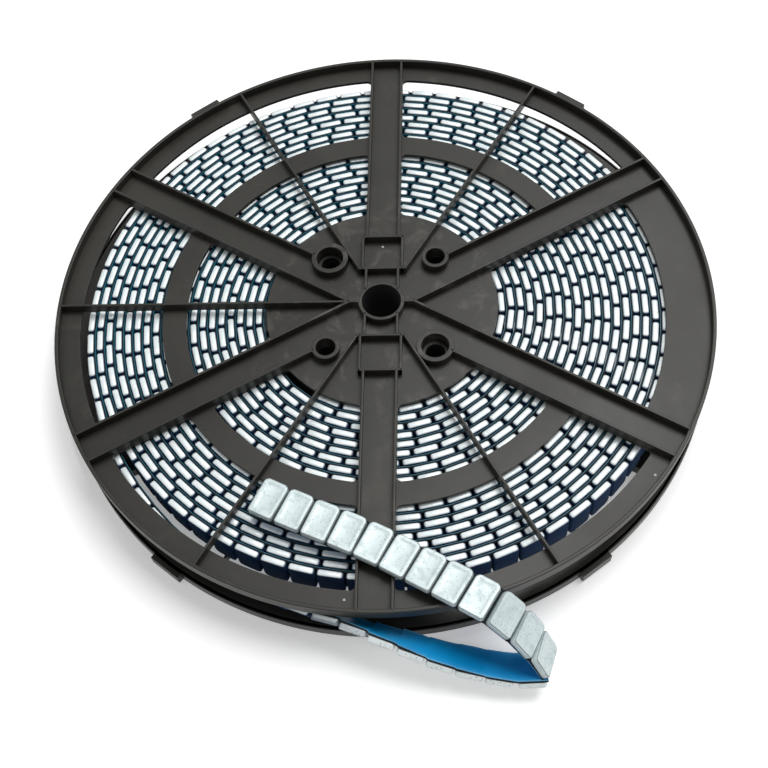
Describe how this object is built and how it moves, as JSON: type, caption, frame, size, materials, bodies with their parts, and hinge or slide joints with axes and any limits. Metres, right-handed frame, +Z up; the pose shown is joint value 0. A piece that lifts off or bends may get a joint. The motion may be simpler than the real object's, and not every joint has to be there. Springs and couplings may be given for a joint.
{
  "type": "wheel balance weight roll",
  "caption": "Roll of self-adhesive steel wheel balance weights wound on a flat two-flange plastic reel, its free end folded back over the rim.",
  "frame": {"origin": "on the axis of the centre bore, level with the surface that the rear flange lies on", "axes": "+Z up along the bore, -Y toward the side where the strip leaves the reel"},
  "size_m": [0.32, 0.3461, 0.0372],
  "materials": {
    "plastic": "satin",
    "steel": "satin",
    "foam": "matt",
    "liner": "satin"
  },
  "bodies": {
    "root": {"front_flange": "plastic", "rear_flange": "plastic", "foam_tape": "foam", "release_liner": "liner", "wound_weights_01": "steel", "wound_weights_02": "steel", "wound_weights_03": "steel", "wound_weights_04": "steel", "wound_weights_05": "steel", "wound_weights_06": "steel", "wound_weights_07": "steel", "wound_weights_08": "steel", "wound_weights_09": "steel", "wound_weights_10": "steel", "wound_weights_11": "steel", "wound_weights_12": "steel", "wound_weights_13": "steel", "wound_weights_14": "steel", "wound_weights_15": "steel", "wound_weights_16": "steel", "wound_weights_17": "steel", "wound_weights_18": "steel", "wound_weights_19": "steel", "tail_weight_01": "steel", "tail_weight_02": "steel", "tail_weight_03": "steel", "tail_weight_04": "steel", "tail_weight_05": "steel", "tail_weight_06": "steel", "tail_weight_07": "steel", "tail_weight_08": "steel", "tail_weight_09": "steel", "tail_weight_10": "steel", "tail_weight_11": "steel", "tail_weight_12": "steel", "tail_weight_13": "steel", "tail_weight_14": "steel", "tail_weight_15": "steel", "tail_weight_16": "steel", "tail_weight_17": "steel", "tail_weight_18": "steel", "tail_weight_19": "steel", "tail_weight_20": "steel", "tail_weight_21": "steel"}
  },
  "joints": []
}
